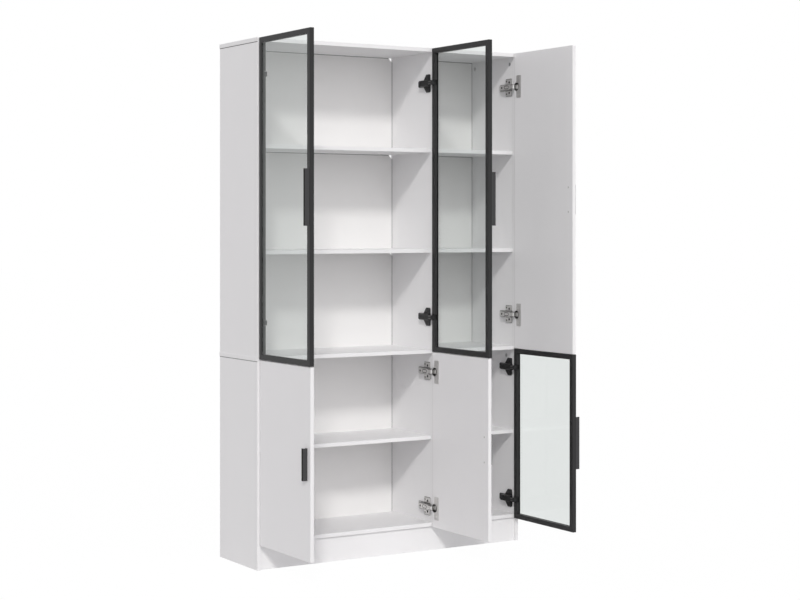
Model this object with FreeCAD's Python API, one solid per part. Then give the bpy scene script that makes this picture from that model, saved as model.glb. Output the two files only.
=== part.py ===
import FreeCAD, Part
import math
import os
from FreeCAD import Vector

# Bookcase of two stacked units with six hinged doors, stored with every door open.
# Millimetres, +Z up. The origin is on the floor, under the middle of the front plinth.

os.makedirs("parts", exist_ok=True)

# Carcass
carcass_width = 1200.0
carcass_depth = 320.0
carcass_height = 2000.0
lower_unit_height = 800.0
board = 15.0
board_overhang = 2.0
edge_bevel = 0.6
door_columns = 3
wide_bay_columns = 2

# Plinth and shelves
plinth_height = 96.0
front_plinth_setback = 10.0
rear_plinth_setback = 24.0
shelf_setback = 16.0
upper_tiers = 3
lower_tiers = 2

# Back sheets, held in grooves. Those of the wide bay have both upper corners cut off
sheet_thickness = 3.0
sheet_fit = 0.1
sheet_lip = 4.0
groove_depth = 5.0
sheet_play = 0.5
sheet_corner = 18.0

# Cam locks that pull the top and middle boards down onto the uprights
cam_radius = 7.5
cam_length = 12.0
cam_sides = 16
cam_fit = 0.05
cam_drop = 27.0
upper_cam_front_inset = 38.0
lower_cam_front_inset = 62.0
cam_rear_inset = 28.0
cam_slot_width = 2.2
cam_slot_depth = 3.0

# Doors: reveal at each side of a column, gap in front of the carcass when shut
door_reveal = 3.0
door_gap = 5.0
door_top_reveal = 1.0
door_foot_drop = 2.0
door_split_drop = 9.5
door_split_gap = 2.5
door_bevel = 1.5
swing_clearance = 0.4
overswing_degrees = 10.0
white_door_thickness = 15.0
glass_door_thickness = 18.0

# Black metal profile round each glass pane
frame_face = 20.0
frame_wall = 1.8
pane_thickness = 4.0
pane_fit = 0.2
pane_lip = 2.0
pane_groove_depth = 6.0
pane_edge_play = 0.6

# Channel-shaped pulls, open towards the hinge side
pull_width = 12.0
pull_projection = 18.0
pull_wall = 2.4
pull_bevel = 0.7
glass_pull_length = 204.0
glass_pull_inset = 3.0
white_pull_length = 116.0
white_pull_inset = 23.0

# Concealed hinges: the arm from its plate on the upright to the eye round the pin
upper_hinge_inset = 137.0
lower_hinge_inset = 77.0
pin_radius = 1.3
pin_fit = 0.05
eye_wall = 0.9
eye_sides = 16
arm_half_width = 9.0
arm_play = 0.4
neck_thickness = 2.6
neck_clearance = 9.0
neck_knee = 4.0
channel_front = 8.0
channel_length = 68.0
channel_half_width = 12.0
channel_wall = 1.6
channel_bevel = 1.2
plate_thickness = 4.0
plate_inset = 20.0
plate_length = 85.0
plate_half_height = 36.0
plate_tail_half_height = 13.0
plate_bevel = 4.0
black_wing_width = 30.0
black_wing_taper = 16.0
nickel_wing_width = 42.0

# Drawn cups of the hinges, sunk into the white doors
cup_radius = 17.5
cup_wall = 0.7
cup_fit = 0.1
cup_skin = 2.6
cup_edge = 4.0
cup_rim = 1.2
cup_rim_sides = 16
flange_thickness = 1.2
flange_inset = 19.0
flange_width = 31.0
flange_height = 92.0
flange_bevel = 3.0
cheek_thickness = 2.0

# Hinge blocks of the glass doors, let into the profile
block_half_height = 13.5
block_back_wall = 2.0
block_web = 1.4
block_fit = 0.2

# Room left round the hinge eye, and between the arm and the pane
eye_room = 0.5
neck_pane_room = 1.3

# One overrun serves all cuts, and points closer than the last value count as one
overrun = 1.0
same_point = 0.01

# Places worked out from the sizes above
left_face = -carcass_width / 2
right_face = carcass_width / 2
front = -front_plinth_setback - board / 2
back = front + carcass_depth
column = carcass_width / door_columns
divider_right = left_face + wide_bay_columns * column
divider_left = divider_right - board
top_underside = carcass_height - board
middle_underside = lower_unit_height - board
floor_top = plinth_height + board
sheet_back = back - sheet_lip
sheet_front = sheet_back - sheet_thickness
door_width = column - 2 * door_reveal
door_split = lower_unit_height - door_split_drop
eye_radius = pin_radius + eye_wall
pane_slot = pane_thickness + 2 * pane_fit
bays = {
    "wide": (left_face + board, divider_left),
    "narrow": (divider_right, right_face - board),
}
across = Vector(1, 0, 0)
inward = Vector(0, 1, 0)
upward = Vector(0, 0, 1)


class DoorSeat:
    """Where one kind of door and its hinge pin lie beside an upright, with the door open.

    Places are taken from the outer face of the door's column and the carcass front.
    """

    def __init__(self, thickness, pin_depth):
        self.thickness = thickness
        self.pin_depth = pin_depth
        reach = door_gap + pin_depth - swing_clearance
        self.pin_inset = math.sqrt(reach ** 2 - (pin_depth - door_bevel) ** 2)
        self.pin_across = door_reveal + self.pin_inset
        self.pin_forward = -door_gap - pin_depth
        self.inner_face = self.pin_across + pin_depth
        self.outer_face = self.inner_face - thickness
        self.hinge_edge = self.pin_forward + self.pin_inset
        self.free_edge = self.hinge_edge - door_width
        self.neck_across = self.inner_face + neck_clearance + neck_thickness / 2


pane_inner = glass_door_thickness - pane_lip - pane_slot
glass_seat = DoorSeat(glass_door_thickness, pane_inner - neck_pane_room - neck_thickness / 2)
cup_depth = white_door_thickness - cup_skin
white_seat = DoorSeat(white_door_thickness, cup_depth - cup_wall - eye_room - eye_radius)

# Each door: its name, the column line and upright that carry it, its tier and its kind
doors = (
    ("upper_left", 0, "left", "upper", "glass"),
    ("upper_middle", wide_bay_columns, "right", "upper", "glass"),
    ("upper_right", door_columns, "right", "upper", "white"),
    ("lower_left", 0, "left", "lower", "white"),
    ("lower_middle", wide_bay_columns, "right", "lower", "white"),
    ("lower_right", door_columns, "right", "lower", "glass"),
)
door_spans = {
    "upper": (door_split + door_split_gap / 2, carcass_height - door_top_reveal),
    "lower": (plinth_height - door_foot_drop, door_split - door_split_gap / 2),
}
hinge_insets = {"upper": upper_hinge_inset, "lower": lower_hinge_inset}
seats = {"glass": glass_seat, "white": white_seat}
wing_shapes = {"glass": (black_wing_width, black_wing_taper), "white": (nickel_wing_width, 0)}


def box(x0, x1, y0, y1, z0, z1):
    return Part.makeBox(x1 - x0, y1 - y0, z1 - z0, Vector(x0, y0, z0))


def prism(points, sweep):
    outline = Part.makePolygon(points + points[:1])
    return Part.Face(outline).extrude(sweep)


def ring(centre, radius, sides, first, second):
    """The corners of a regular outline in the plane of two axes."""
    turns = [2 * math.pi * i / sides for i in range(sides)]
    return [centre + first * (radius * math.cos(t)) + second * (radius * math.sin(t)) for t in turns]


def edges_along(shape, axis):
    """The edges of a shape whose ends lie along an axis of unit length."""
    found = []
    for edge in shape.Edges:
        run = edge.lastVertex().Point - edge.firstVertex().Point
        if run.Length > same_point > run.cross(axis).Length:
            found.append(edge)
    return found


def export(name, solids):
    shape = solids[0] if len(solids) == 1 else Part.makeCompound(solids)
    shape.exportStep("parts/" + name + ".step")


# Carcass boards


def tiers(low, high, count):
    """The clear heights between count - 1 shelves, from the lowest up."""
    clear = (high - low - (count - 1) * board) / count
    return [(low + i * (clear + board), low + i * (clear + board) + clear) for i in range(count)]


unit_tiers = {
    "upper": tiers(lower_unit_height, top_underside, upper_tiers),
    "lower": tiers(floor_top, middle_underside, lower_tiers),
}
sheet_slots = [
    box(
        x0 - groove_depth,
        x1 + groove_depth,
        sheet_front - sheet_fit,
        sheet_back + sheet_fit,
        z0 - groove_depth,
        z1 + groove_depth,
    )
    for spans in unit_tiers.values()
    for z0, z1 in spans
    for x0, x1 in bays.values()
]


def make_board(x0, x1, y0, z0, z1, y1=back):
    """A board with its long front edges eased, grooved where the back sheets enter it."""
    solid = box(x0, x1, y0, y1, z0, z1)
    long_axis = upward if z1 - z0 > x1 - x0 else across
    eased = [e for e in edges_along(solid, long_axis) if e.CenterOfMass.y < (y0 + y1) / 2]
    solid = solid.makeChamfer(edge_bevel, eased)
    for slot in sheet_slots:
        if solid.BoundBox.intersect(slot.BoundBox):
            solid = solid.cut(slot)
    return solid


def cam_bore(face, side, y, z):
    """A bore from an upright's face into the board: side is +1 where the face looks to +X."""
    return Part.makeCylinder(cam_radius + cam_fit, cam_length, Vector(face, y, z), across * -side)


def cam_lock(face, side, y, z):
    corners = ring(Vector(face, y, z), cam_radius, cam_sides, inward, upward)
    lock = prism(corners, across * (-side * cam_length))
    near, far = sorted((face + side * overrun, face - side * cam_slot_depth))
    half = cam_slot_width / 2
    reach = cam_radius + overrun
    for half_y, half_z in ((half, reach), (reach, half)):
        lock = lock.cut(box(near, far, y - half_y, y + half_y, z - half_z, z + half_z))
    return lock


def make_carcass():
    side_spans = {
        "side_left": (left_face, left_face + board, left_face + board, 1),
        "divider": (divider_left, divider_right, divider_right, 1),
        "side_right": (right_face - board, right_face, right_face - board, -1),
    }
    unit_heights = {
        "upper": (lower_unit_height, top_underside, upper_cam_front_inset),
        "lower": (0, middle_underside, lower_cam_front_inset),
    }
    cams = []
    for unit, (foot, head, cam_inset) in unit_heights.items():
        for name, (x0, x1, face, side) in side_spans.items():
            base = floor_top if (unit, name) == ("lower", "divider") else foot
            upright = make_board(x0, x1, front, base, head)
            for y in (front + cam_inset, back - cam_rear_inset):
                upright = upright.cut(cam_bore(face, side, y, head - cam_drop))
                cams.append(cam_lock(face, side, y, head - cam_drop))
            export(unit + "_" + name, [upright])
    export("cam_locks", cams)

    outer_left = left_face - board_overhang
    outer_right = right_face + board_overhang
    export("top_panel", [make_board(outer_left, outer_right, front, top_underside, carcass_height)])
    export("middle_board", [make_board(outer_left, outer_right, front, middle_underside, lower_unit_height)])
    inner_left = left_face + board
    inner_right = right_face - board
    export("bottom_board", [make_board(inner_left, inner_right, front, plinth_height, floor_top)])
    plinth_front = front + front_plinth_setback
    plinth_rear = back - rear_plinth_setback
    plinth = make_board(inner_left, inner_right, plinth_front, 0, plinth_height, plinth_front + board)
    export("front_plinth", [plinth])
    rail = make_board(inner_left, inner_right, plinth_rear - board, 0, plinth_height, plinth_rear)
    export("rear_plinth_rail", [rail])


def make_shelves():
    shelf_levels = {"upper": ("_low", "_high"), "lower": ("",)}
    for unit, spans in unit_tiers.items():
        for bay, (x0, x1) in bays.items():
            for level, (z0, z1) in zip(shelf_levels[unit], spans):
                shelf = make_board(x0, x1, front + shelf_setback, z1, z1 + board)
                export(unit + "_shelf_" + bay + level, [shelf])


def back_sheet(x0, x1, z0, z1, clipped):
    """A thin sheet that fills one opening and its grooves."""
    reach = groove_depth - sheet_play
    sheet = box(x0 - reach, x1 + reach, sheet_front, sheet_back, z0 - reach, z1 + reach)
    if not clipped:
        return sheet
    corners = [e for e in edges_along(sheet, inward) if e.CenterOfMass.z > z1]
    return sheet.makeChamfer(sheet_corner + 2 * reach, corners)


def make_back_sheets():
    for unit, spans in unit_tiers.items():
        for bay, (x0, x1) in bays.items():
            sheets = [back_sheet(x0, x1, z0, z1, bay == "wide") for z0, z1 in spans]
            export(unit + "_backs_" + bay, sheets)


# Hinges: every piece is made for an upright on the left, then placed or mirrored


def plate_of(kind, height):
    """The plate screwed to the upright: a wing above and below the arm, and a tail behind it."""
    wing_width, taper = wing_shapes[kind]
    wing_back = plate_inset + wing_width
    tail_back = plate_inset + plate_length
    upper_half = (
        (plate_inset, plate_half_height - plate_bevel),
        (plate_inset + plate_bevel, plate_half_height),
        (wing_back - plate_bevel, plate_half_height),
        (wing_back, plate_half_height - plate_bevel),
        (wing_back + taper, plate_tail_half_height),
        (tail_back - plate_bevel, plate_tail_half_height),
        (tail_back, plate_tail_half_height - plate_bevel),
    )
    outline = [Vector(board, y, height + rise) for y, rise in upper_half]
    outline += [Vector(board, y, height - rise) for y, rise in reversed(upper_half)]
    return prism(outline, across * plate_thickness)


def arm_of(seat, height):
    """A channel on the plate, with a bent neck that ends in the eye round the pin."""
    half = neck_thickness / 2
    neck = seat.neck_across
    low = seat.pin_forward - half
    high = seat.pin_forward + half
    tip = seat.pin_across - eye_radius
    tip_half = eye_radius * math.tan(math.pi / 8)
    root = channel_front + channel_wall
    inner_knee = neck_knee - neck_thickness * math.tan(math.pi / 8)
    outline = (
        (tip, seat.pin_forward - tip_half),
        (seat.pin_across - tip_half, seat.pin_forward - eye_radius),
        (seat.pin_across + tip_half, seat.pin_forward - eye_radius),
        (seat.pin_across + eye_radius, low),
        (neck + half - neck_knee, low),
        (neck + half, low + neck_knee),
        (neck + half, root),
        (neck - half, root),
        (neck - half, high + inner_knee),
        (neck - half - inner_knee, high),
        (seat.pin_across + eye_radius, high),
        (seat.pin_across + tip_half, seat.pin_forward + eye_radius),
        (seat.pin_across - tip_half, seat.pin_forward + eye_radius),
        (tip, seat.pin_forward + tip_half),
    )
    foot = height - arm_half_width
    width = 2 * arm_half_width
    strip = prism([Vector(x, y, foot) for x, y in outline], upward * width)
    base = board + plate_thickness
    channel_back = channel_front + channel_length
    channel = box(
        base,
        neck + half,
        channel_front,
        channel_back,
        height - channel_half_width,
        height + channel_half_width,
    )
    ridges = [e for e in edges_along(channel, inward) if e.CenterOfMass.x > neck]
    channel = channel.makeChamfer(channel_bevel, ridges)
    inner_half = channel_half_width - channel_wall
    hollow = box(
        base,
        neck - half,
        channel_front - overrun,
        channel_back + overrun,
        height - inner_half,
        height + inner_half,
    )
    arm = channel.cut(hollow).fuse(strip).removeSplitter()
    eye = Vector(seat.pin_across, seat.pin_forward, foot)
    bore_radius = (pin_radius + pin_fit) / math.cos(math.pi / eye_sides)
    return arm.cut(prism(ring(eye, bore_radius, eye_sides, across, inward), upward * width))


def pin_of(seat, height, half_length):
    foot = Vector(seat.pin_across, seat.pin_forward, height - half_length)
    return Part.makeCylinder(pin_radius, 2 * half_length, foot)


def pin_notch(seat, foot, head):
    """The notch, open to the door's inner face, that a pin lies in."""
    return box(
        seat.pin_across - pin_radius,
        seat.inner_face,
        seat.pin_forward - pin_radius,
        seat.pin_forward + pin_radius,
        foot,
        head,
    )


def cup_of(seat, height):
    """A drawn cup with a rim and a flange on the door's inner face, and two cheeks for the pin."""
    middle = seat.hinge_edge - cup_edge - cup_radius
    floor = seat.inner_face - cup_depth
    shell = Part.makeCylinder(cup_radius, cup_depth, Vector(floor, middle, height), across)
    flange = box(
        seat.inner_face,
        seat.inner_face + flange_thickness,
        seat.hinge_edge - flange_inset - flange_width,
        seat.hinge_edge - flange_inset,
        height - flange_height / 2,
        height + flange_height / 2,
    )
    flange = flange.makeChamfer(flange_bevel, edges_along(flange, across))
    mouth = Vector(seat.inner_face, middle, height)
    rim_corners = ring(mouth, cup_radius + cup_rim, cup_rim_sides, inward, upward)
    rim = prism(rim_corners, across * flange_thickness)
    hollow = Part.makeCylinder(
        cup_radius - cup_wall,
        cup_depth - cup_wall + flange_thickness,
        Vector(floor + cup_wall, middle, height),
        across,
    )
    cup = shell.fuse(rim).fuse(flange).cut(hollow)
    slot_half = arm_half_width + arm_play
    for foot in (height + slot_half, height - slot_half - cheek_thickness):
        head = foot + cheek_thickness
        cheek = box(
            floor,
            seat.pin_across + eye_radius,
            seat.pin_forward - eye_radius,
            seat.pin_forward + eye_radius,
            foot,
            head,
        )
        cup = cup.fuse(cheek.cut(pin_notch(seat, foot, head)))
    return cup.removeSplitter()


def slot_back(seat):
    """The arm's furthest reach behind the pin, at the door's face, with the door past square."""
    tilt = math.radians(overswing_degrees)
    return seat.pin_forward + seat.pin_depth * math.tan(tilt) + neck_thickness / 2 / math.cos(tilt) + eye_room


def block_outline(seat, spare):
    """Plan outline of a hinge block in the profile, grown by spare on its sunk sides."""
    back_y = slot_back(seat) + block_back_wall + spare
    step_y = seat.pin_forward - eye_radius - spare + eye_room
    mouth_y = seat.hinge_edge - frame_face
    mouth_x = seat.pin_across - neck_thickness / 2 - eye_room / 2 - spare
    floor_x = seat.pin_across - eye_radius - eye_room - block_web - spare
    points = (
        (seat.inner_face, back_y),
        (seat.inner_face, mouth_y),
        (mouth_x, mouth_y),
        (mouth_x, step_y),
        (floor_x, step_y),
        (floor_x, back_y),
    )
    return points


def block_solid(seat, height, half_height, spare):
    foot = height - half_height
    points = [Vector(x, y, foot) for x, y in block_outline(seat, spare)]
    return prism(points, upward * 2 * half_height)


def block_of(seat, height):
    """A block with a slot for the arm, leaving a back wall, a web and two notched cheeks."""
    block = block_solid(seat, height, block_half_height, 0)
    slot_half = arm_half_width + arm_play
    slot = box(
        seat.pin_across - eye_radius - eye_room,
        seat.inner_face + overrun,
        seat.hinge_edge - frame_face - overrun,
        slot_back(seat),
        height - slot_half,
        height + slot_half,
    )
    notch = pin_notch(seat, height - block_half_height, height + block_half_height)
    return block.cut(slot).cut(notch)


# Doors: made for an upright on the left, standing open


def white_panel(seat, z0, z1, heights):
    panel = box(seat.outer_face, seat.inner_face, seat.free_edge, seat.hinge_edge, z0, z1)
    panel = panel.makeChamfer(door_bevel, panel.Edges)
    middle = seat.hinge_edge - cup_edge - cup_radius
    for height in heights:
        mouth = Vector(seat.inner_face + overrun, middle, height)
        depth = cup_depth + cup_fit + overrun
        panel = panel.cut(Part.makeCylinder(cup_radius + cup_fit, depth, mouth, across * -1))
    return panel


def profile_points(seat):
    """The frame's section: distance in from the door's edge, and place across the thickness."""
    lip = seat.outer_face + pane_lip
    groove = frame_face - pane_groove_depth
    outline = (
        (0, seat.inner_face),
        (frame_face, seat.inner_face),
        (frame_face, lip + pane_slot),
        (groove, lip + pane_slot),
        (groove, lip),
        (frame_face, lip),
        (frame_face, seat.outer_face),
        (0, seat.outer_face),
    )
    chamber_far = groove - frame_wall
    chamber = (
        (frame_wall, seat.inner_face - frame_wall),
        (chamber_far, seat.inner_face - frame_wall),
        (chamber_far, seat.outer_face + frame_wall),
        (frame_wall, seat.outer_face + frame_wall),
    )
    return outline, chamber


def frame_member(seat, place, sweep, mitre):
    """A hollow profile run along one side of the door and cut to its mitres."""
    outline, chamber = profile_points(seat)
    bar = prism([place(inset, x) for inset, x in outline], sweep)
    rim = [place(0, x) + sweep / 2 for x in (seat.inner_face, seat.outer_face)]
    corners = [e for e in bar.Edges if any(e.CenterOfMass.isEqual(spot, same_point) for spot in rim)]
    bar = bar.makeChamfer(door_bevel, corners)
    bar = bar.cut(prism([place(inset, x) for inset, x in chamber], sweep))
    thickness = across * (seat.thickness + 2 * overrun)
    wedge = prism([Vector(seat.outer_face - overrun, y, z) for y, z in mitre], thickness)
    return bar.common(wedge)


def glass_frame(seat, z0, z1):
    """The hinge stile, the free stile and the two rails."""
    y_in = seat.hinge_edge - frame_face
    y_out = seat.free_edge + frame_face
    z_in = z0 + frame_face
    z_out = z1 - frame_face
    rise = upward * (z1 - z0)
    run = inward * door_width
    hinge_stile = frame_member(
        seat,
        lambda inset, x: Vector(x, seat.hinge_edge - inset, z0),
        rise,
        ((seat.hinge_edge, z0), (seat.hinge_edge, z1), (y_in, z_out), (y_in, z_in)),
    )
    free_stile = frame_member(
        seat,
        lambda inset, x: Vector(x, seat.free_edge + inset, z0),
        rise,
        ((seat.free_edge, z0), (seat.free_edge, z1), (y_out, z_out), (y_out, z_in)),
    )
    bottom_rail = frame_member(
        seat,
        lambda inset, x: Vector(x, seat.free_edge, z0 + inset),
        run,
        ((seat.free_edge, z0), (seat.hinge_edge, z0), (y_in, z_in), (y_out, z_in)),
    )
    top_rail = frame_member(
        seat,
        lambda inset, x: Vector(x, seat.free_edge, z1 - inset),
        run,
        ((seat.free_edge, z1), (seat.hinge_edge, z1), (y_in, z_out), (y_out, z_out)),
    )
    return hinge_stile, free_stile, [bottom_rail, top_rail]


def glass_pane(seat, z0, z1):
    edge = frame_face - pane_groove_depth + pane_edge_play
    face = seat.outer_face + pane_lip + pane_fit
    return box(
        face,
        face + pane_thickness,
        seat.free_edge + edge,
        seat.hinge_edge - edge,
        z0 + edge,
        z1 - edge,
    )


def pull_of(seat, z0, z1, length, inset):
    """A channel with its base on the door, its web on the free side and a lip to grip."""
    base = seat.outer_face
    lip = base - pull_projection
    near = seat.free_edge + inset
    far = near + pull_width
    foot = (z0 + z1 - length) / 2
    points = (
        (base, far),
        (base, near),
        (lip, near),
        (lip, far),
        (lip + pull_wall, far),
        (lip + pull_wall, near + pull_wall),
        (base - pull_wall, near + pull_wall),
        (base - pull_wall, far),
    )
    bar = prism([Vector(x, y, foot) for x, y in points], upward * length)
    middle = base - pull_wall
    corners = [e for e in edges_along(bar, upward) if e.CenterOfMass.x < middle]
    return bar.makeChamfer(pull_bevel, corners)


def placed(shape, column_line, upright):
    """A piece moved to its column line, and mirrored where the upright is on the right."""
    if upright == "right":
        shape = shape.mirror(Vector(), across)
    return shape.translated(Vector(left_face + column_line * column, front, 0))


def make_doors():
    plates = {"glass": [], "white": []}
    arms = {"glass": [], "white": []}
    for name, column_line, upright, tier, kind in doors:
        seat = seats[kind]
        z0, z1 = door_spans[tier]
        heights = (z0 + hinge_insets[tier], z1 - hinge_insets[tier])
        if kind == "glass":
            hinge_stile, free_stile, rails = glass_frame(seat, z0, z1)
            for height in heights:
                pocket_half = block_half_height + block_fit
                hinge_stile = hinge_stile.cut(block_solid(seat, height, pocket_half, block_fit))
            pieces = {
                "hinge_stile": [hinge_stile],
                "free_stile": [free_stile],
                "rails": rails,
                "pane": [glass_pane(seat, z0, z1)],
                "pull": [pull_of(seat, z0, z1, glass_pull_length, glass_pull_inset)],
                "hinge_blocks": [block_of(seat, height) for height in heights],
                "hinge_pins": [pin_of(seat, height, block_half_height) for height in heights],
            }
        else:
            pin_half = arm_half_width + arm_play + cheek_thickness
            pieces = {
                "panel": [white_panel(seat, z0, z1, heights)],
                "pull": [pull_of(seat, z0, z1, white_pull_length, white_pull_inset)],
                "hinge_cups": [cup_of(seat, height) for height in heights],
                "hinge_pins": [pin_of(seat, height, pin_half) for height in heights],
            }
        for piece, solids in pieces.items():
            solids = [placed(solid, column_line, upright) for solid in solids]
            export(name + "_" + piece, solids)
        for height in heights:
            plates[kind].append(placed(plate_of(kind, height), column_line, upright))
            arms[kind].append(placed(arm_of(seat, height), column_line, upright))
    for kind, finish in (("glass", "black"), ("white", "nickel")):
        export(finish + "_hinge_plates", plates[kind])
        export(finish + "_hinge_arms", arms[kind])


make_carcass()
make_shelves()
make_back_sheets()
make_doors()
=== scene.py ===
import functools
import math
import operator

import bmesh
import bpy
from mathutils import Matrix, Vector


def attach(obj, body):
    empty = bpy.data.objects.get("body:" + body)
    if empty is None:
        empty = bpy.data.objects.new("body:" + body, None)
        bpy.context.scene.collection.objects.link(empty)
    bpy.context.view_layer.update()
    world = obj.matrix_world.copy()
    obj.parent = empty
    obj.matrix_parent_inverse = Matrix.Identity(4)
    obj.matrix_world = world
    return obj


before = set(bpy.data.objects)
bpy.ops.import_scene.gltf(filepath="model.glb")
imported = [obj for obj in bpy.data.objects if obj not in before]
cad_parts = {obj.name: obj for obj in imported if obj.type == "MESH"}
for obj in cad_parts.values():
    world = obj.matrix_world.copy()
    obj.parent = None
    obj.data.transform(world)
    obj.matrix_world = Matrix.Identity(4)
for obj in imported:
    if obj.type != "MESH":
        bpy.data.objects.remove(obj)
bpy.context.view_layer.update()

# All lengths are in metres.

# Carcass: front edges, the uprights' outsides, the walls and ceilings of the bays, and the level
# and width of the open joints under the long boards, each with painted shade under its board
FRONT = -0.0175
SHELF_FRONT = -0.0015
OUTER_FACE = 0.5995
BAY_SIDES = (-0.585, 0.185, 0.2, 0.585)
BAY_HEADS = (0.4405, 0.785, 1.185, 1.585, 1.985)
# Half width of the painted shade in the corners where the back sheets meet the bays' walls and
# ceilings
CORNER_SHADE_HALF_WIDTH = 0.002
JOINT_AND_SHADE_LINES = ((1.985, 0.0027), (0.784, 0.0022))

# Doors, standing open: the outside of the upright that each column hangs on, the distance of a
# door's inner face from it, the door's edges along the depth, and name, column, unit and kind
COLUMN_LINES = {"left": -0.6, "middle": 0.2, "right": 0.6}
DOOR_INNER_FACE = 0.023345
DOOR_HINGE_EDGE = FRONT - 0.002655
DOOR_FREE_EDGE = FRONT - 0.396655
DOOR_MIDDLES = {"upper": 1.395375, "lower": 0.441625}
DOORS = (
    ("upper_left", "left", "upper", "glass"),
    ("upper_middle", "middle", "upper", "glass"),
    ("upper_right", "right", "upper", "white"),
    ("lower_left", "left", "lower", "white"),
    ("lower_middle", "middle", "lower", "white"),
    ("lower_right", "right", "lower", "glass"),
)
METALS = {"glass": "black", "white": "nickel"}

# Edge bands and the shade along a door's hinge edge: distance of the middle from the edge, half
# width and strength
EDGE_LINE, EDGE_HALF_WIDTH, EDGE_STRENGTH = 0.0009, 0.0005, 0.3
DOOR_EDGE_LINE = 0.0018
HINGE_SHADE, HINGE_SHADE_HALF_WIDTH, HINGE_SHADE_STRENGTH = 0.004, 0.005, 0.14

# Hinges: tops are distances from the column's line, depths lie behind the carcass front, and rises
# above or below the middle of the hinge
HINGE_HEIGHTS = {"upper": (0.92875, 1.862), "lower": (0.171, 0.71225)}
PLATE_TOP = 0.019
ARM_TOP = 0.034945
FLANGE_TOP = DOOR_INNER_FACE + 0.0012
FLANGE_MIDDLE = DOOR_HINGE_EDGE - 0.0345
CUP_MIDDLE = DOOR_HINGE_EDGE - FRONT - 0.0215
CUP_RADIUS = 0.0170
# Painted shade on nickel hinges: cup end, arm folds and slot, gap beside the arm, wing rim, spare
# holes
CUP_END, CUP_END_HALF_WIDTH = 0.0095, 0.004
NECK_END = 0.008
ARM_FOLD, NECK_FOLD = 0.0098, 0.0070
SLOT_MIDDLE, SLOT_HALF_LENGTH = 0.034, 0.009
SLOT_RADIUS, SLOT_HALF_LINE = 0.0060, 0.0014
ARM_GAP, ARM_GAP_HALF_WIDTH = 0.0130, 0.0011
WING_RIM = 0.0333
SPARE_HOLE_DEPTH, SPARE_HOLE_RISE, SPARE_HOLE_RADIUS = 0.0545, 0.0262, 0.0038
# Painted highlights of bare steel on a black arm: the line along its neck and its folds
GLINT_NECK, GLINT_NECK_HALF_LENGTH = -0.002, 0.008
GLINT_LINE, GLINT_LINE_HALF_WIDTH = 0.0045, 0.0012
GLINT_FOLD = 0.0102

# Screws: depths and rises on the hinges, inset from the free edge and reach from the middle in the
# pulls, and the radius and height of each kind of head
PLATE_SCREW_DEPTH, PLATE_SCREW_RISE = 0.036, 0.0215
REAR_SCREW_DEPTH = 0.091
CLAMP_DEPTH = 0.066
CUP_SCREW_RISE = 0.032
PULL_SCREWS = {"glass": (0.009, 0.080), "white": (0.0275, 0.048)}
HEADS = {
    "plate": (0.0047, 0.0009),
    "clamp": (0.0045, 0.0009),
    "arm": (0.0030, 0.0007),
    "pull": (0.0038, 0.0012),
    "cup": (0.0036, 0.0008),
}

# A screw head's sides, its rings as shares of radius and height, and the reach, half width and
# height of the cross in it as shares of the same
HEAD_SIDES = 24
HEAD_RINGS = ((1.0, 0.0), (0.96, 0.45), (0.74, 1.0))
RECESS_RINGS = ((0.52, 0.13, 1.0), (0.42, 0.09, 0.25))

# Room light, and each lamp's angle to the left, height, spread in degrees, strength and tint
AMBIENT = 0.395
AMBIENT_TINT = (0.99, 0.975, 1.0)
LAMPS = (
    ("key", 32.0, 34.2, 7.0, 1.19, (1.0, 0.99, 0.97)),
    ("front", 0.0, 8.0, 60.0, 0.53, (1.0, 0.985, 0.99)),
    ("left", 25.0, 15.0, 100.0, 0.85, (1.0, 0.985, 0.995)),
)
LAMP_DISTANCE = 6.0

# Floor: half its side, its tone, and the strength and share of the white that the camera sees
FLOOR_HALF_SIDE = 40.0
FLOOR_TONE = 0.7
FLOOR_GLOW = 1.02
FLOOR_WHITE_SHARE = 0.96

# Camera: size of the picture, focal length and middle of the view in its pixels, sensor width in
# millimetres, place, and turn to the right in degrees
PICTURE_WIDTH, PICTURE_HEIGHT = 800.0, 600.0
FOCAL_LENGTH = 1722.0
VIEW_MIDDLE_X, VIEW_MIDDLE_Y = 386.3, 224.7
SENSOR_WIDTH = 36.0
CAMERA_PLACE = (-3.5489, -5.7770, 1.2970)
CAMERA_TURN = 31.393


def rgb(red, green, blue):
    return (red, green, blue, 1.0)


WHITE = rgb(1.0, 1.0, 1.0)
BAND_AND_SHADE_GREY = rgb(0.45, 0.44, 0.42)
JOINT_AND_SHADE_BLACK = rgb(0.03, 0.03, 0.03)
CORNER_SHADE_BLACK = rgb(0.05, 0.05, 0.05)
SHADE_MARK_BLACK = rgb(0.02, 0.02, 0.02)
GLINT_STEEL = rgb(0.36, 0.355, 0.35)


class Value:
    """A shader output that takes part in Python sums."""

    def __init__(self, finish, socket):
        self.finish = finish
        self.socket = socket

    def __add__(self, other):
        return self.finish.sum("ADD", self, other)

    def __radd__(self, other):
        return self.finish.sum("ADD", other, self)

    def __sub__(self, other):
        return self.finish.sum("SUBTRACT", self, other)

    def __rsub__(self, other):
        return self.finish.sum("SUBTRACT", other, self)

    def __mul__(self, other):
        return self.finish.sum("MULTIPLY", self, other)

    def __rmul__(self, other):
        return self.finish.sum("MULTIPLY", other, self)

    def __pow__(self, power):
        return self.finish.sum("POWER", self, power)

    def __abs__(self):
        return self.finish.sum("ABSOLUTE", self, 0)

    def __lt__(self, limit):
        return self.finish.sum("LESS_THAN", self, limit)

    def __gt__(self, limit):
        return self.finish.sum("GREATER_THAN", self, limit)

    def __or__(self, other):
        return self.finish.sum("MAXIMUM", self, other)

    def __ror__(self, other):
        return self.finish.sum("MAXIMUM", other, self)

    def __and__(self, other):
        return self.finish.sum("MINIMUM", self, other)

    def __rand__(self, other):
        return self.finish.sum("MINIMUM", other, self)


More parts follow.
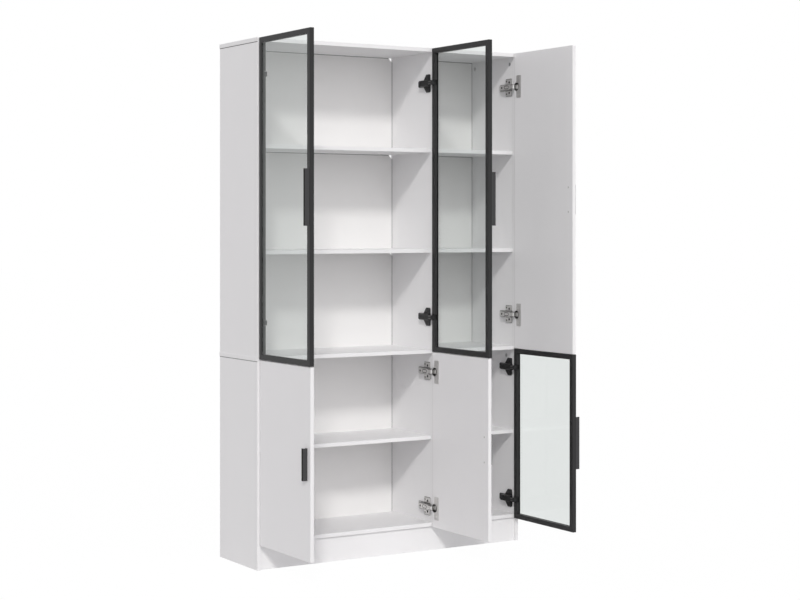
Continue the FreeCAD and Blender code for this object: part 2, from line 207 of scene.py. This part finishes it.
class Finish:
    """The nodes of one material or of the world."""

    def __init__(self, owner):
        owner.use_nodes = True
        self.owner = owner
        self.tree = owner.node_tree
        self.tree.nodes.clear()

    def node(self, kind, settings=None, sockets=None, output=0):
        made = self.tree.nodes.new("ShaderNode" + kind)
        for name, setting in (settings or {}).items():
            setattr(made, name, setting)
        for name, value in (sockets or {}).items():
            if isinstance(value, Value):
                self.tree.links.new(value.socket, made.inputs[name])
            else:
                made.inputs[name].default_value = value
        return Value(self, made.outputs[output]) if made.outputs else None

    def sum(self, operation, first, second):
        return self.node("Math", {"operation": operation}, {0: first, 1: second})

    def place(self):
        return self.node("TexCoord", output="Object")

    def normal(self):
        return self.node("TexCoord", output="Normal")

    def axes(self, vector, names):
        return [self.node("SeparateXYZ", None, {0: vector}, output=axis) for axis in names]

    def noise(self, place, scale, detail=3.0, rough=0.55):
        sockets = {"Vector": place, "Scale": scale, "Detail": detail, "Roughness": rough}
        return self.node("TexNoise", None, sockets)

    def grain(self, stretch, detail=4.0, rough=0.6):
        """Noise with a scale of its own along each axis."""
        place = self.node("Mapping", None, {"Vector": self.place(), "Scale": stretch})
        return self.noise(place, 1.0, detail, rough)

    def between(self, amount, first, second):
        """A mix of two colours, which the mix node takes at 6 and 7 and gives at output 2."""
        settings = {"data_type": "RGBA"}
        return self.node("Mix", settings, {0: amount, 6: first, 7: second}, output=2)

    def bump(self, height, strength, distance):
        sockets = {"Height": height, "Strength": strength, "Distance": distance}
        return self.node("Bump", None, sockets)

    def blend(self, share, first, second):
        return self.node("MixShader", None, {0: share, 1: first, 2: second})

    def shown(self, shader, output="OutputMaterial"):
        self.node(output, None, {"Surface": shader})
        return self.owner

    def surface(self, **sockets):
        named = {name.replace("_", " "): value for name, value in sockets.items()}
        return self.shown(self.node("BsdfPrincipled", None, named))


def new_finish(name):
    return Finish(bpy.data.materials.new(name))


def near(value, middle, reach):
    return abs(value - middle) < reach


# Finishes


def laminate(name, pale, deep, bands, rough):
    """White melamine with a faint pebble, edge bands, and open joints with painted shade under the
    long boards.
    """
    finish = new_finish(name)
    place = finish.place()
    x, y, z = finish.axes(place, "XYZ")
    cloud = finish.noise(place, scale=5.0)
    pebble = finish.noise(place, scale=900.0, detail=2.0)
    colour = finish.between(cloud, pale, deep)
    # Bands are glue lines of the edge banding, and a door's first band is painted shade along its
    # hinge edge
    for middle, half_width, strength in bands:
        colour = finish.between(strength * near(y, middle, half_width), colour, BAND_AND_SHADE_GREY)
    # Open joints with painted shade: a dark line just below each long board on the outer faces,
    # where the board's overhang casts its shadow
    for level, gap in JOINT_AND_SHADE_LINES:
        line = near(z, level - gap / 2, gap / 2) * (abs(x) > OUTER_FACE)
        colour = finish.between(0.9 * line, colour, JOINT_AND_SHADE_BLACK)
    return finish.surface(
        Base_Color=colour,
        Roughness=rough + 0.12 * pebble,
        Normal=finish.bump(pebble, strength=0.12, distance=0.0002),
        IOR=1.5,
    )


def sheet_board():
    """Thin fibreboard with a white paper face, and painted shade in the corners along its bay's
    sides and head.
    """
    finish = new_finish("back_sheet")
    place = finish.place()
    x, z = finish.axes(place, "XZ")
    fibre = finish.grain((260.0, 260.0, 60.0), detail=5.0, rough=0.65)
    cloud = finish.noise(place, scale=4.0)
    pale, deep = rgb(0.875, 0.868, 0.862), rgb(0.845, 0.838, 0.832)
    colour = finish.between(0.6 * cloud + 0.4 * fibre, pale, deep)
    # Painted shade: dark lines along the corners where the sheet meets the walls and ceilings of
    # its bay
    lines = [near(x, side, CORNER_SHADE_HALF_WIDTH) for side in BAY_SIDES]
    lines += [near(z, head, CORNER_SHADE_HALF_WIDTH) for head in BAY_HEADS]
    corner_shade = functools.reduce(operator.or_, lines)
    colour = finish.between(0.85 * corner_shade, colour, CORNER_SHADE_BLACK)
    return finish.surface(
        Base_Color=colour,
        Roughness=0.5 + 0.2 * fibre,
        Normal=finish.bump(fibre, strength=0.1, distance=0.0003),
        IOR=1.48,
    )


def brushed_black(name, stretch, tone, rough, gloss, web_light_tone=None):
    """Black anodised metal with fine brush lines along its length, and painted light on a pull's
    web.
    """
    finish = new_finish(name)
    lines = finish.grain(stretch)
    cloud = finish.noise(finish.place(), scale=30.0)

    def brushed(level):
        dark = rgb(level * 0.8, level * 0.8, level * 0.83)
        pale = rgb(level * 1.25, level * 1.25, level * 1.28)
        return finish.between(lines, dark, pale)

    colour = brushed(tone)
    # Painted light: faces that look along the depth, which on a pull are its web, take a paler
    # tone
    if web_light_tone:
        (along_depth,) = finish.axes(finish.normal(), "Y")
        colour = finish.between(abs(along_depth) > 0.7, colour, brushed(web_light_tone))
    return finish.surface(
        Base_Color=colour,
        Roughness=rough - 0.05 + 0.08 * lines + 0.03 * cloud,
        Normal=finish.bump(lines, strength=0.05, distance=0.0001),
        Specular_IOR_Level=gloss,
    )


def clear_glass():
    """Float glass: a faintly green body and a gloss that grows towards the glancing view."""
    finish = new_finish("clear_glass")
    film = finish.noise(finish.place(), scale=7.0, detail=4.0, rough=0.6)
    body = finish.node("BsdfTransparent", None, {"Color": rgb(0.896, 0.911, 0.905)})
    mirror = {"Base Color": rgb(0.9, 0.92, 0.91), "Metallic": 1.0, "Roughness": 0.01 + 0.03 * film}
    sheen = finish.node("BsdfPrincipled", None, mirror)
    facing = finish.node("LayerWeight", None, {"Blend": 0.5}, output="Facing")
    return finish.shown(finish.blend(0.035 + 0.9 * facing ** 5, body, sheen))


def along_hinge(finish):
    """How deep a point lies behind the front, and how far from the middle of its hinge."""
    y, z = finish.axes(finish.place(), "YZ")
    levels = HINGE_HEIGHTS["lower"] + HINGE_HEIGHTS["upper"]
    return y - FRONT, functools.reduce(operator.and_, [abs(z - level) for level in levels])


def arm_shade_marks(depth, rise):
    """Painted shade on the folded edges of a hinge arm and in the slot around its adjusting screw.
    """
    beyond = (abs(depth - SLOT_MIDDLE) - SLOT_HALF_LENGTH) | 0
    slot = near((beyond * beyond + rise * rise) ** 0.5, SLOT_RADIUS, SLOT_HALF_LINE)
    fold = (rise > ARM_FOLD) * (depth > NECK_END)
    side = (rise > NECK_FOLD) * (depth < NECK_END)
    return 0.85 * slot | 0.65 * fold | 0.65 * side


def plate_shade_marks(depth, rise):
    """Painted shade in the gap beside the arm, along the rim of the wings and in a plate's spare
    holes.
    """
    gap = near(rise, ARM_GAP, ARM_GAP_HALF_WIDTH)
    rim = rise > WING_RIM
    back, off = depth - SPARE_HOLE_DEPTH, rise - SPARE_HOLE_RISE
    hole = back * back + off * off < SPARE_HOLE_RADIUS ** 2
    return 0.8 * gap | 0.55 * rim | 0.9 * hole


def cup_shade_marks(depth, rise):
    """Painted shade at the far end of the hollow in a hinge cup."""
    off = depth - CUP_MIDDLE
    inside = (off * off + rise * rise) ** 0.5 < CUP_RADIUS
    return 0.7 * inside * near(off, CUP_END, CUP_END_HALF_WIDTH)


def bare_glint_marks(depth, rise):
    """Painted highlights: bare steel lines on the neck and the folds of a black hinge arm."""
    neck = near(depth, GLINT_NECK, GLINT_NECK_HALF_LENGTH)
    line = near(rise, GLINT_LINE, GLINT_LINE_HALF_WIDTH)
    fold = (depth > NECK_END) * (rise > GLINT_FOLD)
    return 0.5 * (neck * line) | 0.12 * fold


def plated(name, pale, deep, rough, stretch, marks=None):
    """Bare metal: drawn lines, a cloudy plating and painted shade at the marks of a pressed piece.
    """
    finish = new_finish(name)
    lines = finish.grain(stretch)
    cloud = finish.noise(finish.place(), scale=90.0)
    colour = finish.between(0.5 * lines + 0.5 * cloud, deep, pale)
    if marks:
        colour = finish.between(marks(*along_hinge(finish)), colour, SHADE_MARK_BLACK)
    return finish.surface(
        Base_Color=colour,
        Metallic=1.0,
        Roughness=rough - 0.08 + 0.1 * lines + 0.1 * cloud,
        Normal=finish.bump(lines, strength=0.12, distance=0.0002),
    )


def painted_steel(name, marks=None):
    """Black hinge steel under a thin coat, with painted highlights of bare steel at its marks."""
    finish = new_finish(name)
    skin = finish.noise(finish.place(), scale=600.0)
    coat = finish.between(skin, rgb(0.007, 0.007, 0.008), rgb(0.014, 0.014, 0.015))
    glint = {}
    if marks:
        amount = marks(*along_hinge(finish))
        coat = finish.between(amount, coat, GLINT_STEEL)
        glint = {"Metallic": amount}
    return finish.surface(
        Base_Color=coat,
        Roughness=0.28 + 0.16 * skin,
        Normal=finish.bump(skin, strength=0.2, distance=0.0002),
        Specular_IOR_Level=0.3,
        **glint,
    )


def white_boards():
    """The finishes of the carcass boards and of the plain doors."""
    edges = (FRONT + EDGE_LINE, SHELF_FRONT + EDGE_LINE)
    board = laminate(
        "white_board",
        pale=rgb(0.875, 0.87, 0.878),
        deep=rgb(0.85, 0.845, 0.853),
        bands=[(edge, EDGE_HALF_WIDTH, EDGE_STRENGTH) for edge in edges],
        rough=0.36,
    )
    door = laminate(
        "white_door",
        pale=rgb(0.875, 0.868, 0.878),
        deep=rgb(0.85, 0.843, 0.853),
        bands=(
            # Painted shade along the hinge edge of a plain door
            (DOOR_HINGE_EDGE - HINGE_SHADE, HINGE_SHADE_HALF_WIDTH, HINGE_SHADE_STRENGTH),
            (DOOR_FREE_EDGE + DOOR_EDGE_LINE, EDGE_HALF_WIDTH, EDGE_STRENGTH),
        ),
        rough=0.32,
    )
    return board, door


def black_metals():
    """The finishes of the frames' stiles and rails and of the pulls, brushed along each."""
    frame_look = {"tone": 0.022, "rough": 0.42, "gloss": 0.24}
    # The pull's web is painted paler, as if lit
    pull_look = {"tone": 0.009, "rough": 0.44, "gloss": 0.05, "web_light_tone": 0.062}
    stile = brushed_black("black_profile", (900.0, 900.0, 12.0), **frame_look)
    rail = brushed_black("black_profile_rail", (900.0, 12.0, 900.0), **frame_look)
    pull = brushed_black("black_pull", (900.0, 900.0, 14.0), **pull_look)
    return stile, rail, pull


def nickel_metals():
    """The finishes of plain nickel pieces and of the arms, plates and cups of the hinges."""
    pale, deep, drawn = rgb(0.70, 0.69, 0.68), rgb(0.57, 0.565, 0.56), (300.0, 40.0, 300.0)
    kinds = (
        ("nickel_steel", 0.30, None),
        ("nickel_steel_arm", 0.28, arm_shade_marks),
        ("nickel_steel_plate", 0.30, plate_shade_marks),
        ("nickel_steel_cup", 0.32, cup_shade_marks),
    )
    return [plated(name, pale, deep, rough, drawn, marks) for name, rough, marks in kinds]


def zinc_metal():
    pale, deep = rgb(0.60, 0.60, 0.61), rgb(0.46, 0.46, 0.47)
    return plated("zinc_cam", pale, deep, rough=0.46, stretch=(160.0, 160.0, 160.0))


def dress_nodes():
    """Gives every solid of the bookcase its finish, and returns the finishes of the screws."""
    board, door = white_boards()
    sheet = sheet_board()
    stile, rail, pull = black_metals()
    glass = clear_glass()
    black = painted_steel("black_steel")
    black_arm = painted_steel("black_steel_arm", bare_glint_marks)
    nickel, nickel_arm, nickel_plate, nickel_cup = nickel_metals()
    by_ending = [(name + "_hinge_pins", black) for name, _, _, kind in DOORS if kind == "glass"]
    by_ending += [
        ("top_panel", board),
        ("black_hinge_plates", black),
        ("black_hinge_arms", black_arm),
        ("nickel_hinge_plates", nickel_plate),
        ("nickel_hinge_arms", nickel_arm),
        ("_rails", rail),
        ("_stile", stile),
        ("_pane", glass),
        ("_pull", pull),
        ("_panel", door),
        ("_hinge_blocks", black),
        ("_hinge_cups", nickel_cup),
        ("_hinge_pins", nickel),
        ("_backs_wide", sheet),
        ("_backs_narrow", sheet),
        ("cam_locks", zinc_metal()),
    ]
    for name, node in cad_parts.items():
        finish = next((f for ending, f in by_ending if name.endswith(ending)), board)
        node.data.materials.clear()
        node.data.materials.append(finish)
    return {"black_steel": black, "nickel_steel": nickel}


# Screws


def new_object(name, data):
    made = bpy.data.objects.new(name, data)
    bpy.context.collection.objects.link(made)
    return made


def mesh_object(name, mesh, finish):
    data = bpy.data.meshes.new(name)
    mesh.to_mesh(data)
    mesh.free()
    data.materials.append(finish)
    return new_object(name, data)


def screw_head(mesh, seat, outward, radius, height):
    """Adds a domed head with a cross recess, standing on a face that looks along outward."""
    turn = outward.to_track_quat("Z", "Y").to_matrix().to_4x4()
    stand = Matrix.Translation(seat) @ turn

    def loop(points):
        verts = [mesh.verts.new(stand @ Vector(p)) for p in points]
        return verts, [mesh.edges.new((verts[i - 1], verts[i])) for i in range(len(verts))]

    def circle(r, h):
        angles = [2 * math.pi * i / HEAD_SIDES for i in range(HEAD_SIDES)]
        return loop([(r * math.cos(a), r * math.sin(a), h) for a in angles])

    def cross(reach, half, h):
        quarter = [(reach, -half), (reach, half), (half, half)]
        points = []
        for _ in range(4):
            points += [(x, y, h) for x, y in quarter]
            quarter = [(-y, x) for x, y in quarter]
        return loop(points)

    rings = [circle(radius * r, height * h) for r, h in HEAD_RINGS]
    recess = [cross(radius * reach, radius * half, height * h) for reach, half, h in RECESS_RINGS]
    for low, high in (rings[:2], rings[1:], recess):
        for i in range(len(low[0])):
            mesh.faces.new((low[0][i - 1], low[0][i], high[0][i], high[0][i - 1]))
    bmesh.ops.triangle_fill(mesh, use_beauty=True, edges=rings[2][1] + recess[0][1])
    mesh.faces.new(recess[1][0])
    mesh.faces.new(rings[0][0][::-1])


def screws(name, kind, seats, body, finishes, slot):
    """One piece of all the screws of a kind that ride on a body."""
    mesh = bmesh.new()
    for seat, outward in seats:
        screw_head(mesh, Vector(seat), Vector(outward), *HEADS[kind])
    bmesh.ops.recalc_face_normals(mesh, faces=mesh.faces)
    piece = mesh_object(name, mesh, finishes[slot])
    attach(piece, body)


def across(side, distance):
    """A place beside an upright, and the way that its face looks."""
    sign = 1 if side == "left" else -1
    return COLUMN_LINES[side] + sign * distance, (sign, 0, 0)


def fit_hinge_screws(finishes):
    """The screws on the carcass: two wing screws and one rear screw to a plate, two to an arm."""
    for kind, colour in METALS.items():
        seats = {"plate": [], "clamp": [], "arm": []}
        for _, side, unit, door_kind in DOORS:
            if door_kind != kind:
                continue
            for height in HINGE_HEIGHTS[unit]:
                x, outward = across(side, PLATE_TOP)
                for rise in (-PLATE_SCREW_RISE, PLATE_SCREW_RISE):
                    wing = (x, FRONT + PLATE_SCREW_DEPTH, height + rise)
                    seats["plate"].append((wing, outward))
                seats["plate"].append(((x, FRONT + REAR_SCREW_DEPTH, height), outward))
                x, outward = across(side, ARM_TOP)
                seats["arm"].append(((x, FRONT + SLOT_MIDDLE, height), outward))
                seats["clamp"].append(((x, FRONT + CLAMP_DEPTH, height), outward))
        for screw, places in seats.items():
            slot = colour + "_steel" if screw == "arm" else "black_steel"
            screws(f"{colour}_{screw}_screws", screw, places, "carcass", finishes, slot)


def fit_door_screws(finishes):
    """The screws in the doors: two to a pull, and two to the flange of a cup."""
    for name, side, unit, kind in DOORS:
        body = name + "_door"
        slot = METALS[kind] + "_steel"
        x, outward = across(side, DOOR_INNER_FACE)
        inset, reach = PULL_SCREWS[kind]
        seats = [
            ((x, DOOR_FREE_EDGE + inset, DOOR_MIDDLES[unit] + rise), outward)
            for rise in (-reach, reach)
        ]
        screws(name + "_pull_screws", "pull", seats, body, finishes, slot)
        if kind == "white":
            x, outward = across(side, FLANGE_TOP)
            seats = [
                ((x, FLANGE_MIDDLE, height + rise), outward)
                for height in HINGE_HEIGHTS[unit]
                for rise in (-CUP_SCREW_RISE, CUP_SCREW_RISE)
            ]
            screws(name + "_cup_screws", "cup", seats, body, finishes, slot)


# Floor, light and camera


def shows_white(finish):
    """One where a ray comes from the camera, a reflection or a pane."""
    rays = ("Is Camera Ray", "Is Glossy Ray", "Is Transmission Ray")
    return functools.reduce(operator.or_, [finish.node("LightPath", output=ray) for ray in rays])


def lay_floor():
    finish = new_finish("floor")
    matt = finish.node("BsdfDiffuse", None, {"Color": rgb(FLOOR_TONE, FLOOR_TONE, FLOOR_TONE)})
    glow = finish.node("Emission", None, {"Color": WHITE, "Strength": FLOOR_GLOW})
    look = finish.shown(finish.blend(FLOOR_WHITE_SHARE * shows_white(finish), matt, glow))
    mesh = bmesh.new()
    bmesh.ops.create_grid(mesh, x_segments=1, y_segments=1, size=FLOOR_HALF_SIDE)
    floor = mesh_object("floor", mesh, look)


def light_room():
    world = bpy.data.worlds.new("room")
    bpy.context.scene.world = world
    finish = Finish(world)
    plain = finish.node("Background", None, {"Color": rgb(*AMBIENT_TINT), "Strength": AMBIENT})
    white = finish.node("Background", None, {"Color": WHITE, "Strength": 1.0})
    finish.shown(finish.blend(shows_white(finish), plain, white), "OutputWorld")
    for name, left, up, spread, energy, tint in LAMPS:
        data = bpy.data.lights.new(name, "SUN")
        data.energy = energy
        data.color = tint
        data.angle = math.radians(spread)
        lamp = new_object(name, data)
        side, rise = math.radians(left), math.radians(up)
        level = math.cos(rise)
        toward = Vector((-math.sin(side) * level, -math.cos(side) * level, math.sin(rise)))
        lamp.rotation_mode = "QUATERNION"
        lamp.rotation_quaternion = toward.to_track_quat("Z", "Y")
        lamp.location = toward * LAMP_DISTANCE


def set_camera():
    data = bpy.data.cameras.new("camera")
    data.sensor_width = SENSOR_WIDTH
    data.lens = FOCAL_LENGTH * SENSOR_WIDTH / PICTURE_WIDTH
    data.shift_x = (PICTURE_WIDTH / 2 - VIEW_MIDDLE_X) / PICTURE_WIDTH
    data.shift_y = (VIEW_MIDDLE_Y - PICTURE_HEIGHT / 2) / PICTURE_WIDTH
    camera = new_object("camera", data)
    camera.location = CAMERA_PLACE
    camera.rotation_euler = (math.radians(90.0), 0.0, math.radians(-CAMERA_TURN))
    bpy.context.scene.camera = camera


screw_finishes = dress_nodes()
fit_hinge_screws(screw_finishes)
fit_door_screws(screw_finishes)
lay_floor()
light_room()
set_camera()
bpy.context.scene.view_settings.view_transform = "Standard"
